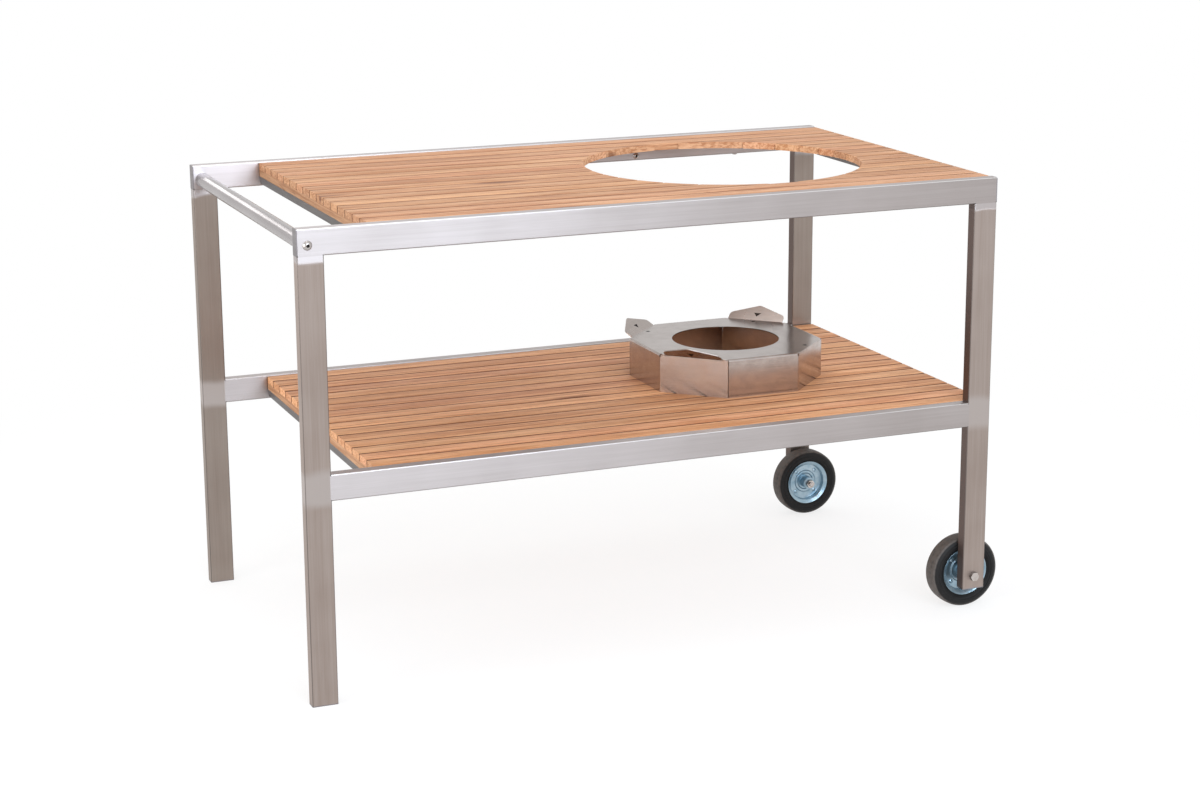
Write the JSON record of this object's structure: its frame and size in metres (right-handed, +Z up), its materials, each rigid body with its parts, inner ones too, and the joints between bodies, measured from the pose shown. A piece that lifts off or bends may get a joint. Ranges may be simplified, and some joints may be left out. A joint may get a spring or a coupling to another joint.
{
  "type": "kamado grill table",
  "caption": "Wheeled garden table with a slatted worktop cut out for a round ceramic grill, a slatted shelf, a folded grill stand and a lift handle.",
  "frame": {"origin": "on the floor, under the middle of the table's bounding box, wheels and bolt heads included", "axes": "+Z up; +X from the handle end to the wheel end; +Y from the front rail to the back rail"},
  "size_m": [1.48, 0.834, 0.9],
  "materials": {
    "teak": "planed and oiled teak",
    "brushed_tube": "stainless tube, brushed along its length",
    "cross_member_steel": "stainless tube, dull mill finish",
    "handle_steel": "round stainless tube, fine satin",
    "stand_sheet": "folded stainless sheet, satin",
    "tyre_rubber": "matt black rubber",
    "zinc_plated_steel": "bright zinc-plated steel",
    "bush_plastic": "plain nylon",
    "screw_steel": "stainless screws"
  },
  "bodies": {
    "table": {"axle_bolts": "zinc_plated_steel", "axle_nuts": "zinc_plated_steel", "axle_sleeves": "zinc_plated_steel", "axle_washers": "zinc_plated_steel", "deck_screws": "screw_steel", "handle_bar": "handle_steel", "handle_plugs": "screw_steel", "handle_screws": "screw_steel", "hook_screws": "screw_steel", "leg_back_left": "brushed_tube", "leg_back_right": "brushed_tube", "leg_front_left": "brushed_tube", "leg_front_right": "brushed_tube", "lower_rail_back": "brushed_tube", "lower_rail_front": "brushed_tube", "shelf_battens": "teak", "shelf_cross_member_1": "cross_member_steel", "shelf_cross_member_2": "cross_member_steel", "shelf_cross_member_3": "cross_member_steel", "shelf_cross_member_4": "cross_member_steel", "shelf_slats": "teak", "top_battens": "teak", "top_cross_member_1": "cross_member_steel", "top_cross_member_2": "cross_member_steel", "top_cross_member_3": "cross_member_steel", "top_cross_member_4": "cross_member_steel", "top_rail_back": "brushed_tube", "top_rail_front": "brushed_tube", "top_slat_01": "teak", "top_slat_02": "teak", "top_slat_03": "teak", "top_slat_04": "teak", "top_slat_05": "teak", "top_slat_06": "teak", "top_slat_07": "teak", "top_slat_08": "teak", "top_slat_09": "teak", "top_slat_10": "teak", "top_slat_11": "teak", "top_slat_12": "teak", "top_slat_13": "teak", "top_slat_14": "teak", "top_slat_15": "teak", "top_slat_16": "teak", "tube_end_caps": "brushed_tube"},
    "front_wheel": {"front_wheel_bush": "bush_plastic", "front_wheel_hub": "zinc_plated_steel", "front_wheel_rim_inner": "zinc_plated_steel", "front_wheel_rim_outer": "zinc_plated_steel", "front_wheel_rivets": "zinc_plated_steel", "front_wheel_tyre": "tyre_rubber"},
    "back_wheel": {"back_wheel_bush": "bush_plastic", "back_wheel_hub": "zinc_plated_steel", "back_wheel_rim_inner": "zinc_plated_steel", "back_wheel_rim_outer": "zinc_plated_steel", "back_wheel_rivets": "zinc_plated_steel", "back_wheel_tyre": "tyre_rubber"},
    "stand": {"stand_corner_plates": "stand_sheet", "stand_shell": "stand_sheet"}
  },
  "joints": [
    {"name": "front_wheel_spin", "type": "hinge", "parent": "table", "child": "front_wheel", "pos_m": [0.665, -0.359, 0.075], "axis": [0, 1, 0], "continuous": true},
    {"name": "back_wheel_spin", "type": "hinge", "parent": "table", "child": "back_wheel", "pos_m": [0.665, 0.359, 0.075], "axis": [0, 1, 0], "continuous": true},
    {"name": "stand_lift", "type": "slide", "parent": "table", "child": "stand", "axis": [0, 0, 1], "range_m": [0, 0.5]}
  ]
}
